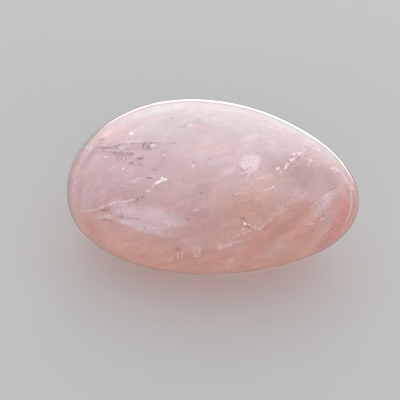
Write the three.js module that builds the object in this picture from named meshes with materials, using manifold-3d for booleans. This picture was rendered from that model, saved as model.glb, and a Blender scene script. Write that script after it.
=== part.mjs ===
// Rose quartz palm stone: one egg-shaped pebble of massive quartz, ground and polished all over.
// It lies on its belly, on a small flat that is about the size of a fingernail.
//
// Millimetres, +Z up. X is the long way, with the blunt end at -X and the narrow end at +X.
// The flat lies on z = 0, and the origin is under the middle of the stone's length and width.

import * as THREE from "three";
import { mergeVertices } from "three/addons/utils/BufferGeometryUtils.js";
import Module from "manifold-3d";

// Main sizes
const LENGTH = 60;
const WIDTH = 43.8;
const THICKNESS = 30;

// How the pebble departs from a plain ellipsoid
const FULLNESS = 2.14; // power of the outline: 2 is an ellipse, and more is fuller between the axes
const NARROWING = 0.04; // share of the width lost from the middle to the narrow end
const END_PINCH = 0.14; // share of the width that both ends lose
const THINNING = 0.06; // share of the thickness lost from the middle to the narrow end
const BOW = 2; // the middle stands this far towards +Y of the ends
const SHOULDER = 0.5; // both sides swing towards +Y on the narrow half, and back on the blunt half
const LEAN = 0.6; // the back leans towards +Y, and the belly the other way
const END_DROP = 1.1; // the ends sit this far below the middle
const NOSE_DROP = 0.6; // back and belly both sink on the narrow half, and rise on the blunt half
const TWIST = 1; // on the narrow half the +Y side sinks and the -Y side rises

// The flat that it rests on: how deep it is worn into the belly
const FLAT_DEPTH = 0.2;

// Each face of the icosahedron that the skin starts from is split into this many strips, plus one
const FACE_SPLITS = 15;

const ROSE = 0xd9aca8;

// Carries a direction from the pebble's middle to the point of its skin that lies that way.
function skinPoint(direction) {
  const powers = direction
    .toArray()
    .reduce((sum, part) => sum + Math.abs(part) ** FULLNESS, 0);
  const unit = direction.clone().divideScalar(powers ** (1 / FULLNESS));
  const { x: end, y: side, z: top } = unit;
  const breadth = (WIDTH / 2) * (1 - NARROWING * end - END_PINCH * end * end);
  const depth = (THICKNESS / 2) * (1 - THINNING * end);
  const sideways = BOW * (1 - end * end) + SHOULDER * end * side * side + LEAN * top;
  const sunk = END_DROP * end * end + NOSE_DROP * end * top * top + TWIST * end * side;
  return new THREE.Vector3(
    (LENGTH / 2) * end,
    breadth * side + sideways,
    depth * top - sunk,
  );
}

// The whole pebble as a closed, evenly meshed skin.
function pebbleGeometry() {
  const ball = new THREE.IcosahedronGeometry(1, FACE_SPLITS);
  ball.deleteAttribute("normal");
  ball.deleteAttribute("uv");
  const geometry = mergeVertices(ball);
  const places = geometry.getAttribute("position");
  const direction = new THREE.Vector3();
  for (let i = 0; i < places.count; i++) {
    direction.fromBufferAttribute(places, i).normalize();
    places.setXYZ(i, ...skinPoint(direction).toArray());
  }
  return geometry;
}

// Moves the pebble so that its flat will lie on z = 0, with its box centred over the origin.
function setDown(geometry) {
  geometry.computeBoundingBox();
  const { min, max } = geometry.boundingBox;
  geometry.translate(
    -(min.x + max.x) / 2,
    -(min.y + max.y) / 2,
    -(min.z + FLAT_DEPTH),
  );
  return geometry;
}

// A block that fills everything below z = 0, where the belly is worn away.
function wornAwayGeometry() {
  const block = new THREE.BoxGeometry(LENGTH, WIDTH, THICKNESS);
  block.translate(0, 0, -THICKNESS / 2);
  block.deleteAttribute("normal");
  block.deleteAttribute("uv");
  return mergeVertices(block);
}

const wasm = await Module();
wasm.setup();

function solidFrom(geometry) {
  return new wasm.Manifold(
    new wasm.Mesh({
      numProp: 3,
      vertProperties: geometry.getAttribute("position").array,
      triVerts: new Uint32Array(geometry.index.array),
    }),
  );
}

function geometryFrom(solid) {
  const { vertProperties, triVerts } = solid.getMesh();
  const geometry = new THREE.BufferGeometry();
  geometry.setAttribute("position", new THREE.BufferAttribute(vertProperties, 3));
  geometry.setIndex(new THREE.BufferAttribute(triVerts, 1));
  geometry.computeVertexNormals();
  return geometry;
}

function palmStone() {
  const pebble = solidFrom(setDown(pebbleGeometry()));
  const stone = pebble.subtract(solidFrom(wornAwayGeometry()));
  const polished = new THREE.MeshStandardMaterial({
    color: ROSE,
    roughness: 0.12,
    metalness: 0,
  });
  const mesh = new THREE.Mesh(geometryFrom(stone), polished);
  mesh.name = "palm_stone";
  return mesh;
}

const roseQuartzPalmStone = new THREE.Group();
roseQuartzPalmStone.add(palmStone());

export default roseQuartzPalmStone;
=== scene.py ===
"""Rose quartz palm stone: a polished egg-shaped pebble of cloudy pink quartz on a studio floor.

Everything is in metres in the stone's own frame: X along its length with the narrow end at +X, Z up, and
the flat that it rests on at z = 0. The cracks, veils and tints inside the stone are given where they show
in a picture of it, and are set on the sight line through that place, bent as quartz bends it.
"""
import math
from typing import NamedTuple

import bpy
import numpy as np
from mathutils import Matrix, Vector
from mathutils.bvhtree import BVHTree


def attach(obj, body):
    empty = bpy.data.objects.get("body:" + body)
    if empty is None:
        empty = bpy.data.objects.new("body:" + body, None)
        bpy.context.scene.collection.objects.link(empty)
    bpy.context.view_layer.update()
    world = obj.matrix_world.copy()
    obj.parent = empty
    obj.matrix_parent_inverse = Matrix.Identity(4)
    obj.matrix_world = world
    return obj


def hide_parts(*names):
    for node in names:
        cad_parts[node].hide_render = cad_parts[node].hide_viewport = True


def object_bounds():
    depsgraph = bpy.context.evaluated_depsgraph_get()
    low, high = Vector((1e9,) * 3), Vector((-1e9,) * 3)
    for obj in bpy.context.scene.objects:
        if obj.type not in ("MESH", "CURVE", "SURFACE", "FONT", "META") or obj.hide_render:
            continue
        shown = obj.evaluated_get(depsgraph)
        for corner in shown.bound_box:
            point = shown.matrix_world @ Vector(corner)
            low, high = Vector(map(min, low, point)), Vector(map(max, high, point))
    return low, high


bl_info = {
    "name": "Rose Quartz Palm Stone",
    "version": (1, 0, 0),
    "blender": (4, 5, 0),
    "location": "3D View > Sidebar > Palm Stone",
    "description": "Builds a polished rose quartz palm stone with its veils, flecks and studio",
    "category": "Object",
}

MM = 0.001
NODE = "palm_stone"
PEBBLE = "rose_quartz_stone"
QUARTZ_IOR = 1.544
NOISE_LOW = 0.3  # nearly all values of a noise texture lie between these two
NOISE_HIGH = 0.7

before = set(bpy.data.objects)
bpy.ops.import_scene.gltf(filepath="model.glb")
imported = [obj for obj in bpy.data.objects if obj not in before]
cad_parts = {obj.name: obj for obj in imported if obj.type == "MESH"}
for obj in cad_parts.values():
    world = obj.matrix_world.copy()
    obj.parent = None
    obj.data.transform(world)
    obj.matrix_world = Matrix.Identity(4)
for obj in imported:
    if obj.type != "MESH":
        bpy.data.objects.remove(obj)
CAD_LOW, CAD_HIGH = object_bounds()


# Colours and node building

def linear(hex_colour):
    """Turns an sRGB hex colour such as "d9aca8" into Blender's linear RGBA."""
    parts = [int(hex_colour[i:i + 2], 16) / 255 for i in (0, 2, 4)]
    return (*[p / 12.92 if p <= 0.04045 else ((p + 0.055) / 1.055) ** 2.4 for p in parts], 1.0)


def add(tree, kind, settings=None, *first, **named):
    """Adds a node with its settings, which may be just the name of its operation.

    Its first inputs follow in their order. Others are named by their label, or by in6, in7 and so on for
    their place.
    """
    node = tree.nodes.new(kind)
    if isinstance(settings, str):
        settings = {"operation": settings}
    for key, value in (settings or {}).items():
        setattr(node, key, value)
    inputs = dict(enumerate(first))
    for key, value in named.items():
        inputs[int(key[2:]) if key[:2] == "in" and key[2:].isdigit() else key.replace("_", " ")] = value
    for place, value in inputs.items():
        socket = node.inputs[place]
        if isinstance(value, bpy.types.NodeSocket):
            tree.links.new(value, socket)
        elif isinstance(value, bpy.types.Node):
            tree.links.new(value.outputs[0], socket)
        else:
            socket.default_value = value
    return node


# What a user can change

LENGTH = {"unit": "LENGTH", "subtype": "DISTANCE"}
COLOUR = {"subtype": "COLOR", "size": 3, "min": 0.0, "max": 1.0}


class PebbleShape(bpy.types.PropertyGroup):
    """The pebble's form, by the same rule as the solid that it covers."""

    length: bpy.props.FloatProperty(
        name="Length", description="From the blunt end to the narrow end",
        default=CAD_HIGH.x - CAD_LOW.x, **LENGTH)
    width: bpy.props.FloatProperty(
        name="Width", description="Across the middle, before the ends are pinched",
        default=43.8 * MM, **LENGTH)
    thickness: bpy.props.FloatProperty(
        name="Thickness", description="From the belly to the back, before the flat is worn",
        default=30 * MM, **LENGTH)
    fullness: bpy.props.FloatProperty(
        name="Fullness", description="Power of the outline: 2 is an ellipse, and more is fuller",
        default=2.14)
    narrowing: bpy.props.FloatProperty(
        name="Narrowing", description="Share of the width lost at the narrow end",
        default=0.04, subtype="FACTOR")
    end_pinch: bpy.props.FloatProperty(
        name="End Pinch", description="Share of the width that both ends lose",
        default=0.14, subtype="FACTOR")
    thinning: bpy.props.FloatProperty(
        name="Thinning", description="Share of the thickness lost at the narrow end",
        default=0.06, subtype="FACTOR")
    bow: bpy.props.FloatProperty(
        name="Bow", description="How far the middle stands to the side of the ends",
        default=2 * MM, **LENGTH)
    shoulder: bpy.props.FloatProperty(
        name="Shoulder", description="How far both sides swing over on the narrow half",
        default=0.5 * MM, **LENGTH)
    lean: bpy.props.FloatProperty(
        name="Lean", description="How far the back leans to the side of the middle",
        default=0.6 * MM, **LENGTH)
    end_drop: bpy.props.FloatProperty(
        name="End Drop", description="How far the ends sit below the middle",
        default=1.1 * MM, **LENGTH)
    nose_drop: bpy.props.FloatProperty(
        name="Nose Drop", description="How far back and belly sink on the narrow half",
        default=0.6 * MM, **LENGTH)
    twist: bpy.props.FloatProperty(
        name="Twist", description="How far one side sinks against the other on the narrow half",
        default=1 * MM, **LENGTH)
    flat_depth: bpy.props.FloatProperty(
        name="Flat Depth", description="How deep the flat is worn into the belly",
        default=0.2 * MM, **LENGTH)
    ripple: bpy.props.FloatProperty(
        name="Ripple", description="Height of the waves that hand polishing leaves",
        default=0.03 * MM, **LENGTH)


class CrystalFlaws(bpy.types.PropertyGroup):
    """The milk, the cracks and the veils inside the stone."""

    clear_depth: bpy.props.FloatProperty(
        name="Clear Depth", description="Least thickness of the clear skin over the milky heart",
        default=1.8 * MM, **LENGTH)
    heart_unevenness: bpy.props.FloatProperty(
        name="Heart Unevenness", description="How much deeper the milky heart lies in some places",
        default=1 * MM, **LENGTH)
    crowding: bpy.props.FloatProperty(
        name="Crowding", description="How many flecks the cracks hold, as a share of the usual number",
        default=1.0, subtype="FACTOR")
    fleck_size: bpy.props.FloatProperty(
        name="Fleck Size", description="Length of the flecks, as a share of the usual length",
        default=1.0, subtype="FACTOR")
    hidden_cracks: bpy.props.IntProperty(
        name="Hidden Cracks", description="How many cracks lie in the back, the ends and the belly",
        default=22)
    seed: bpy.props.IntProperty(
        name="Seed", description="Deals the flecks and the hidden cracks anew", default=7)


def quartz_colour(name, description, hex_colour):
    """A colour of the quartz that a user can change."""
    return bpy.props.FloatVectorProperty(
        name=name, description=description, default=linear(hex_colour)[:3], **COLOUR)


class QuartzColours(bpy.types.PropertyGroup):
    """The stone's colours: the milk's from belly to back, its tints', the clear skin's and the flecks'."""

    # Belly to back: partly the stone's colour, partly painted light: sheen on top, deeper pink low down
    belly: quartz_colour("Belly", "Salmon pink, low in the stone", "f2cac0")
    flank: quartz_colour("Flank", "Pink, at half height", "e6c8c4")
    crown: quartz_colour("Crown", "Cooler pink, under the back", "dec6c7")
    back: quartz_colour("Back", "Pale milk along the back", "dad2d3")
    lilac: quartz_colour("Lilac", "Where fine fibres cloud the pink", "dcc8d0")
    blush: quartz_colour("Blush", "Clear cool pink of the blunt end", "ead2dc")
    rose: quartz_colour("Rose", "Strongest pink of the middle", "ddc0c5")
    plum: quartz_colour("Plum", "Where the milk thins out and the stone looks deep", "b89ca6")
    dusk: quartz_colour("Dusk", "Brownish pink of the narrow half", "be9e9a")
    # Smoke is painted shade round the open cracks
    smoke: quartz_colour("Smoke", "Grey round the open cracks", "c5bac0")
    frost: quartz_colour("Frost", "Cool grey milk of the back", "dce3e1")
    milk: quartz_colour("Milk", "White of the thickest veils", "f5ecf2")
    tan: quartz_colour("Tan", "Yellowish pink above the curved edge", "e4c5b8")
    peach: quartz_colour("Peach", "Warm pink below the curved edge", "e8bfb3")
    salmon: quartz_colour("Salmon", "Deeper pink of the belly", "e0b6a9")
    rust: quartz_colour("Rust", "Iron-stained pink of the ends", "e4a59e")
    honey: quartz_colour("Honey", "Iron-yellow spots near the rim", "f1dab7")
    clear: quartz_colour("Clear", "The clear skin, where light goes in and out", "f9f3f3")
    tinge: quartz_colour("Tinge", "What light takes on along its way through the clear skin", "f0c8c2")
    # Healed and chalk also colour the painted glow that their flecks give off
    healed: quartz_colour("Healed", "Flecks of the healed cracks", "f7eaea")
    # The dark of the open cracks is painted shade
    gap: quartz_colour("Gap", "Flecks of the open cracks", "7c4652")
    # Chalk also paints the glints of tiny facets at the skin
    chalk: quartz_colour("Chalk", "Polishing chalk in the pits", "fffcfb")


class StudioSetup(bpy.types.PropertyGroup):
    """Where the camera stands and what colour the floor is."""

    camera_height: bpy.props.FloatProperty(
        name="Camera Height", description="Angle of the camera above the horizon",
        default=math.radians(32.6), subtype="ANGLE")
    camera_turn: bpy.props.FloatProperty(
        name="Camera Turn", description="How far the camera is turned round the stone, towards -X",
        default=math.radians(9.57), subtype="ANGLE")
    camera_roll: bpy.props.FloatProperty(
        name="Camera Roll", description="How far the camera is tipped to its side",
        default=math.radians(7.06), subtype="ANGLE")
    camera_distance: bpy.props.FloatProperty(
        name="Camera Distance", description="From the lens to the aim point",
        default=246.7 * MM, **LENGTH)
    focal_length: bpy.props.FloatProperty(
        name="Focal Length", description="Of the camera's lens, in millimetres, on a 36 mm sensor",
        default=105.2)
    floor_colour: bpy.props.FloatVectorProperty(
        name="Floor", description="Colour of the matt studio floor", default=linear("dddddc")[:3], **COLOUR)


# The studio

class STONE_OT_set_studio(bpy.types.Operator):
    """Sets the pale floor, the soft lights and the camera"""

    bl_idname = "stone.set_studio"
    bl_label = "Set Studio"

    def execute(self, context):
        studio = context.scene.studio_setup
        context.scene.view_settings.view_transform = "Standard"
        set_floor(studio)
        set_lights()
        set_dome()
        set_camera(context.scene, studio)
        return {"FINISHED"}


FLOOR_SIZE = 6.0
FLOOR_ROUGHNESS = 0.6
FLOOR_IN_POLISH = 0.3  # how bright the polish mirrors the floor, as a share: as if dark flags stood round it


def set_floor(studio):
    """A wide floor of matt paper, which takes soft shadows and mirrors nothing."""
    half = FLOOR_SIZE / 2
    corners = [(-half, -half, 0), (half, -half, 0), (half, half, 0), (-half, half, 0)]
    mesh = bpy.data.meshes.new("studio_floor")
    mesh.from_pydata(corners, [], [(0, 1, 2, 3)])
    floor = bpy.data.objects.new("studio_floor", mesh)
    bpy.context.collection.objects.link(floor)
    material = bpy.data.materials.new("matt_studio_paper")
    material.use_nodes = True
    tree = material.node_tree
    surface = tree.nodes["Principled BSDF"]
    pale = (*studio.floor_colour, 1)
    path = add(tree, "ShaderNodeLightPath")
    shade = add(tree, "ShaderNodeMix", {"data_type": "RGBA"}, Factor=path.outputs["Is Glossy Ray"], in6=pale,
                in7=[part * FLOOR_IN_POLISH for part in pale[:3]] + [1])
    tree.links.new(shade.outputs[2], surface.inputs["Base Color"])
    surface.inputs["Roughness"].default_value = FLOOR_ROUGHNESS
    mesh.materials.append(material)


SOFTBOXES = (
    # name, form, place, what it points at, width, height, watts, and whether it lights the room or shows in
    # the polish
    ("front_softbox", "RECTANGLE", (0, -1.40, 0.24), (0, 0, 0.01), 4.0, 0.6, 18, "room"),
    ("glow_from_below", "RECTANGLE", (0, 0, 0.0003), (0, 0, 1), 0.14, 0.12, 0.04, "room"),
    ("back_glow", "RECTANGLE", (0.020, 0.145, 0.001), (0.020, 0.145, 1), 0.13, 0.085, 0.07, "polish"),
    ("far_glow", "RECTANGLE", (0.1, 0.49, 0.001), (0.1, 0.49, 1), 0.9, 0.6, 1.5, "polish"),
    ("side_glow", "RECTANGLE", (0.075, 0.085, 0.001), (0.075, 0.085, 1), 0.05, 0.045, 0.014, "polish"),
    ("belly_glow", "ELLIPSE", (0, 0.003, 0.0002), (0, 0.003, 1), 0.056, 0.032, 0.003, "polish"),
)


def set_lights():
    """A low box in front, a glow from below, and panels that only the polish shows.

    Those behind the stone give its rim a bright line, and the one under the belly gives its lower edge one.
    """
    for name, form, place, target, width, height, watts, lit in SOFTBOXES:
        light = bpy.data.lights.new(name, "AREA")
        light.shape = form
        light.size = width
        light.size_y = height
        light.energy = watts
        box = bpy.data.objects.new(name, light)
        box.location = place
        box.rotation_euler = (Vector(target) - Vector(place)).to_track_quat("-Z", "Y").to_euler()
        box.visible_camera = False
        box.visible_transmission = lit == "room"
        box.visible_glossy = lit == "polish"
        box.visible_diffuse = lit == "room"
        bpy.context.collection.objects.link(box)


# The room is a soft dome: its colour, how bright it lights things, and how bright the polish mirrors it, low
# down and where it is brightest, above and behind the stone
DOME_COLOUR = "fbfbfd"
DOME = 0.6
DOME_MIRRORED_LOW = 0.25
DOME_MIRRORED_HIGH = 2.4
SHEEN_FROM = Vector((0, 0.5, 0.866))
SHEEN_FULL_AT = 0.9  # cosine of the angle from that direction within which the sheen is at its brightest


def set_dome():
    """A soft bright dome over everything."""
    world = bpy.data.worlds.new("studio_dome")
    world.use_nodes = True
    tree = world.node_tree
    room = tree.nodes["Background"]
    room.inputs["Color"].default_value = linear(DOME_COLOUR)
    direction = add(tree, "ShaderNodeTexCoord").outputs["Generated"]
    towards = add(tree, "ShaderNodeVectorMath", "DOT_PRODUCT", direction, SHEEN_FROM)
    sheen = add(tree, "ShaderNodeMapRange", {"interpolation_type": "SMOOTHSTEP"}, towards.outputs["Value"],
                From_Min=0.0, From_Max=SHEEN_FULL_AT, To_Min=DOME_MIRRORED_LOW, To_Max=DOME_MIRRORED_HIGH)
    path = add(tree, "ShaderNodeLightPath")
    bright = add(tree, "ShaderNodeMapRange", None, path.outputs["Is Glossy Ray"], To_Min=DOME, To_Max=sheen)
    tree.links.new(bright.outputs[0], room.inputs["Strength"])
    bpy.context.scene.world = world


AIM = Vector((0, -1.976, 0)) * MM  # under the pebble's own middle
AIM_LEFT = 1.54 * MM  # the picture's centre lies this far to the left of the aim point
AIM_UP = 10.37 * MM  # and this far above it
SENSOR_WIDTH = 36  # in millimetres, as lenses are sold for
NEAREST = 0.01
FARTHEST = 20


def set_camera(scene, studio):
    """A long lens that looks down on the stone, tipped a little to its side."""
    ahead = Vector((math.sin(studio.camera_turn) * math.cos(studio.camera_height),
                    math.cos(studio.camera_turn) * math.cos(studio.camera_height),
                    -math.sin(studio.camera_height)))
    level_right = Vector((math.cos(studio.camera_turn), -math.sin(studio.camera_turn), 0))
    roll = Matrix.Rotation(-studio.camera_roll, 3, ahead)
    right = roll @ level_right
    up = right.cross(ahead)
    centre = AIM - right * AIM_LEFT + up * AIM_UP
    lens = bpy.data.cameras.new("camera")
    lens.lens = studio.focal_length
    lens.sensor_width = SENSOR_WIDTH
    lens.clip_start = NEAREST
    lens.clip_end = FARTHEST
    camera = bpy.data.objects.new("camera", lens)
    turned = Matrix((right, up, -ahead)).transposed().to_4x4()
    camera.matrix_world = Matrix.Translation(centre - ahead * studio.camera_distance) @ turned
    bpy.context.collection.objects.link(camera)
    scene.camera = camera


# Geometry Nodes trees: how each begins and ends, and how one is run

def new_tree(name, sizes, counts=()):
    """A Geometry Nodes tree with named inputs for its sizes and whole numbers, and those inputs."""
    tree = bpy.data.node_groups.new(name, "GeometryNodeTree")
    tree.interface.new_socket("Geometry", in_out="INPUT", socket_type="NodeSocketGeometry")
    for size in sizes:
        tree.interface.new_socket(size, in_out="INPUT", socket_type="NodeSocketFloat")
    for count in counts:
        tree.interface.new_socket(count, in_out="INPUT", socket_type="NodeSocketInt")
    tree.interface.new_socket("Geometry", in_out="OUTPUT", socket_type="NodeSocketGeometry")
    return tree, tree.nodes.new("NodeGroupInput").outputs


def end_tree(tree, geometry, material):
    """Realizes what the tree made, gives it its material and passes it on."""
    real = add(tree, "GeometryNodeRealizeInstances", None, geometry)
    finished = add(tree, "GeometryNodeSetMaterial", Geometry=real, Material=material)
    add(tree, "NodeGroupOutput", None, finished)


def grown(tree, name, sizes, base=None):
    """Runs a tree on a base mesh with these sizes, and returns a plain mesh object."""
    seed = bpy.data.objects.new(name + "_seed", base or bpy.data.meshes.new(name + "_seed"))
    bpy.context.collection.objects.link(seed)
    modifier = seed.modifiers.new("Growth", "NODES")
    modifier.node_group = tree
    for item in tree.interface.items_tree:
        if item.in_out == "INPUT" and item.name in sizes:
            modifier[item.identifier] = sizes[item.name]
    evaluated = seed.evaluated_get(bpy.context.evaluated_depsgraph_get())
    mesh = bpy.data.meshes.new_from_object(evaluated)
    seed.modifiers.remove(modifier)
    bpy.data.objects.remove(seed)
    mesh.name = name
    piece = bpy.data.objects.new(name, mesh)
    bpy.context.collection.objects.link(piece)
    return piece


# The pebble

class STONE_OT_shape_pebble(bpy.types.Operator):
    """Shapes the pebble by its rule and gives it its polished finish"""

    bl_idname = "stone.shape_pebble"
    bl_label = "Shape Pebble"

    def execute(self, context):
        shape = context.scene.pebble_shape
        sizes = {size.replace("_", " ").title(): getattr(shape, size) for size in shape.__annotations__}
        material = bpy.data.materials.new("polished_rose_quartz")
        stone = grown(pebble_tree(material, sizes), PEBBLE, sizes)
        polish_rose_quartz(material, context.scene.quartz_colours)
        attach(stone, "root")
        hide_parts(NODE)
        return {"FINISHED"}


# The pebble's rule, step by step. A step has a name, an operation, and the two things that it takes: earlier
# steps, sizes of the tree, parts of the unit pebble's point (end, side and top), or plain numbers.
PEBBLE_STEPS = (
    ("end_squared", "MULTIPLY", "end", "end"),
    ("side_squared", "MULTIPLY", "side", "side"),
    ("top_squared", "MULTIPLY", "top", "top"),
    ("end_by_side", "MULTIPLY", "end", "side"),
    ("half_length", "MULTIPLY", "Length", 0.5),
    ("half_width", "MULTIPLY", "Width", 0.5),
    ("half_thickness", "MULTIPLY", "Thickness", 0.5),
    ("narrowed", "MULTIPLY", "Narrowing", "end"),
    ("pinched", "MULTIPLY", "End Pinch", "end_squared"),
    ("width_lost", "ADD", "narrowed", "pinched"),
    ("width_kept", "SUBTRACT", 1.0, "width_lost"),
    ("breadth", "MULTIPLY", "half_width", "width_kept"),
    ("thinned", "MULTIPLY", "Thinning", "end"),
    ("thickness_kept", "SUBTRACT", 1.0, "thinned"),
    ("depth", "MULTIPLY", "half_thickness", "thickness_kept"),
    ("to_the_ends", "SUBTRACT", 1.0, "end_squared"),
    ("bowed", "MULTIPLY", "Bow", "to_the_ends"),
    ("end_by_side_squared", "MULTIPLY", "end", "side_squared"),
    ("shouldered", "MULTIPLY", "Shoulder", "end_by_side_squared"),
    ("leant", "MULTIPLY", "Lean", "top"),
    ("bowed_over", "ADD", "bowed", "shouldered"),
    ("sideways", "ADD", "bowed_over", "leant"),
    ("dropped", "MULTIPLY", "End Drop", "end_squared"),
    ("end_by_top_squared", "MULTIPLY", "end", "top_squared"),
    ("nosed", "MULTIPLY", "Nose Drop", "end_by_top_squared"),
    ("twisted", "MULTIPLY", "Twist", "end_by_side"),
    ("dropped_at_nose", "ADD", "dropped", "nosed"),
    ("sunk", "ADD", "dropped_at_nose", "twisted"),
    ("along", "MULTIPLY", "half_length", "end"),
    ("across", "MULTIPLY", "breadth", "side"),
    ("across_placed", "ADD", "across", "sideways"),
    ("up", "MULTIPLY", "depth", "top"),
    ("up_placed", "SUBTRACT", "up", "sunk"),
)

SKIN_SUBDIVISIONS = 7  # of the icosphere that the skin starts from: 81920 triangles, half a millimetre each
RIPPLE_WIDTH = 9 * MM  # from crest to crest of the waves that polishing leaves


def pebble_tree(material, names):
    """The tree that shapes the pebble from a ball."""
    tree, sizes = new_tree("Pebble", names)
    ball = add(tree, "GeometryNodeMeshIcoSphere", Radius=1.0, Subdivisions=SKIN_SUBDIVISIONS)
    direction = add(tree, "GeometryNodeInputPosition")

    # The unit pebble's point: the direction over the sum of its parts' powers, rooted
    fullness = sizes["Fullness"]
    size = add(tree, "ShaderNodeVectorMath", "ABSOLUTE", direction)
    power = add(tree, "ShaderNodeCombineXYZ", None, fullness, fullness, fullness)
    powers = add(tree, "ShaderNodeVectorMath", "POWER", size, power)
    total = add(tree, "ShaderNodeVectorMath", "DOT_PRODUCT", powers, (1, 1, 1))
    root = add(tree, "ShaderNodeMath", "DIVIDE", -1.0, fullness)
    shrink = add(tree, "ShaderNodeMath", "POWER", total.outputs["Value"], root)
    unit = add(tree, "ShaderNodeVectorMath", "SCALE", direction, Scale=shrink)
    parts = add(tree, "ShaderNodeSeparateXYZ", None, unit)

    known = {name: sizes[name] for name in names}
    known.update(end=parts.outputs["X"], side=parts.outputs["Y"], top=parts.outputs["Z"])
    for name, operation, *taken in PEBBLE_STEPS:
        taken = [known[x] if isinstance(x, str) else x for x in taken]
        known[name] = add(tree, "ShaderNodeMath", operation, *taken).outputs[0]
    skin = add(tree, "ShaderNodeCombineXYZ", None, known["along"], known["across_placed"], known["up_placed"])
    pebble = add(tree, "GeometryNodeSetPosition", Geometry=ball, Position=skin)

    # Shallow waves along the skin's normals
    wave = add(tree, "ShaderNodeTexNoise", {"noise_dimensions": "3D"}, Scale=1 / RIPPLE_WIDTH, Detail=0.0)
    level = add(tree, "ShaderNodeMath", "SUBTRACT", wave, 0.5)
    height = add(tree, "ShaderNodeMath", "MULTIPLY", level, sizes["Ripple"])
    normal = add(tree, "GeometryNodeInputNormal")
    lift = add(tree, "ShaderNodeVectorMath", "SCALE", normal, Scale=height)
    rippled = add(tree, "GeometryNodeSetPosition", Geometry=pebble, Offset=lift)

    # Centred over the origin, and down by the depth of the flat, which then takes what is below z = 0
    bounds = add(tree, "GeometryNodeBoundBox", None, pebble)
    middle = add(tree, "ShaderNodeVectorMath", "ADD", bounds.outputs["Min"], bounds.outputs["Max"])
    to_middle = add(tree, "ShaderNodeVectorMath", "MULTIPLY", middle, (-0.5, -0.5, 0))
    lowest = add(tree, "ShaderNodeSeparateXYZ", None, bounds.outputs["Min"])
    worn_to = add(tree, "ShaderNodeMath", "ADD", lowest.outputs["Z"], sizes["Flat Depth"])
    raised = add(tree, "ShaderNodeMath", "MULTIPLY", worn_to, -1.0)
    up = add(tree, "ShaderNodeCombineXYZ", None, 0.0, 0.0, raised)
    shift = add(tree, "ShaderNodeVectorMath", "ADD", to_middle, up)
    placed = add(tree, "GeometryNodeSetPosition", Geometry=rippled, Offset=shift)
    position = add(tree, "GeometryNodeInputPosition")
    above_floor = add(tree, "ShaderNodeVectorMath", "MAXIMUM", position, (-1, -1, 0))
    worn = add(tree, "GeometryNodeSetPosition", Geometry=placed, Position=above_floor)
    smooth = add(tree, "GeometryNodeSetShadeSmooth", None, worn)
    end_tree(tree, smooth, material)
    return tree


TINGE_DENSITY = 10.0  # how quickly the light takes on the tinge, per metre
WORKED_WIDTH = 2.5 * MM  # of the places that the hand has polished more or less
POLISH_BEST = 0.03  # roughness of the best polished places
POLISH_LEAST = 0.07  # and of the least polished


def polish_rose_quartz(material, colours):
    """Clear quartz with a breath of pink, tumbled to a wet gloss: the milky heart shows through it."""
    material.use_nodes = True
    tree = material.node_tree
    surface = tree.nodes["Principled BSDF"]
    surface.inputs["Base Color"].default_value = (*colours.clear, 1)
    surface.inputs["IOR"].default_value = QUARTZ_IOR
    surface.inputs["Transmission Weight"].default_value = 1.0
    tinge = add(tree, "ShaderNodeVolumeAbsorption", Color=(*colours.tinge, 1), Density=TINGE_DENSITY)
    tree.links.new(tinge.outputs[0], tree.nodes["Material Output"].inputs["Volume"])
    place = add(tree, "ShaderNodeTexCoord").outputs["Object"]
    worked = add(tree, "ShaderNodeTexNoise", None, place, Scale=1 / WORKED_WIDTH, Detail=5.0)
    wiped = add(tree, "ShaderNodeMapRange", None, worked, From_Min=NOISE_LOW, From_Max=NOISE_HIGH,
                To_Min=POLISH_BEST, To_Max=POLISH_LEAST)
    tree.links.new(wiped.outputs[0], surface.inputs["Roughness"])


# Sight lines: from a place in a picture to a point in the stone

PICTURE = 400  # pixels along each side of the picture that the camera takes
PIXEL = 0.21 * MM  # what a pixel of it covers on the stone
STONE_MIDDLE = Vector((0, 0, 15)) * MM
FAR = 0.2  # how far off a side view of the stone is taken from
JUST_INSIDE = 0.01 * MM
DEEPEST = 0.8  # share of the way through the stone that a sight line is followed at most


def skin_of(stone):
    """The stone's faces, for sight lines to meet."""
    mesh = stone.data
    return BVHTree.FromPolygons([v.co for v in mesh.vertices], [tuple(p.vertices) for p in mesh.polygons])


def camera_sight(camera, pixel):
    """Where the camera's sight line through a pixel starts, and which way it goes."""
    lens = camera.data
    per_pixel = lens.sensor_width / lens.lens / PICTURE
    across = (pixel[0] - PICTURE / 2) * per_pixel
    down = (pixel[1] - PICTURE / 2) * per_pixel
    way = camera.matrix_world.to_3x3() @ Vector((across, -down, -1))
    return camera.matrix_world.translation, way.normalized()


def side_sight(side, spot):
    """The sight line through a spot, in mm to the right of the stone's middle and below it, from a side."""
    turn, height = side
    towards = Vector((math.cos(turn) * math.cos(height), math.sin(turn) * math.cos(height), math.sin(height)))
    right = Vector((-math.sin(turn), math.cos(turn), 0))
    up = towards.cross(right)
    return STONE_MIDDLE + towards * FAR + right * (spot[0] * MM) - up * (spot[1] * MM), -towards


def bent(way, normal):
    """The direction that a sight line takes on inside the stone."""
    cosine = -way.dot(normal)
    ratio = 1 / QUARTZ_IOR
    return way * ratio + normal * (ratio * cosine - math.sqrt(1 - ratio ** 2 * (1 - cosine ** 2)))


def sight_inside(skin, sight):
    """Where a sight line enters the stone, which way it goes on, and how far it then is to the other side."""
    origin, way = sight
    entry, normal, _, _ = skin.ray_cast(origin, way)
    if entry is None:
        raise RuntimeError("a sight line passes the stone by")
    way = bent(way, normal)
    _, _, _, through = skin.ray_cast(entry + way * JUST_INSIDE, way)
    return entry, way, through


def inside_point(skin, sight, depth):
    """The point that lies this deep in the stone on a sight line."""
    entry, way, through = sight_inside(skin, sight)
    return entry + way * min(depth, DEEPEST * through)


# The stone's body: tints that follow its growth, each given where it shows

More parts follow.
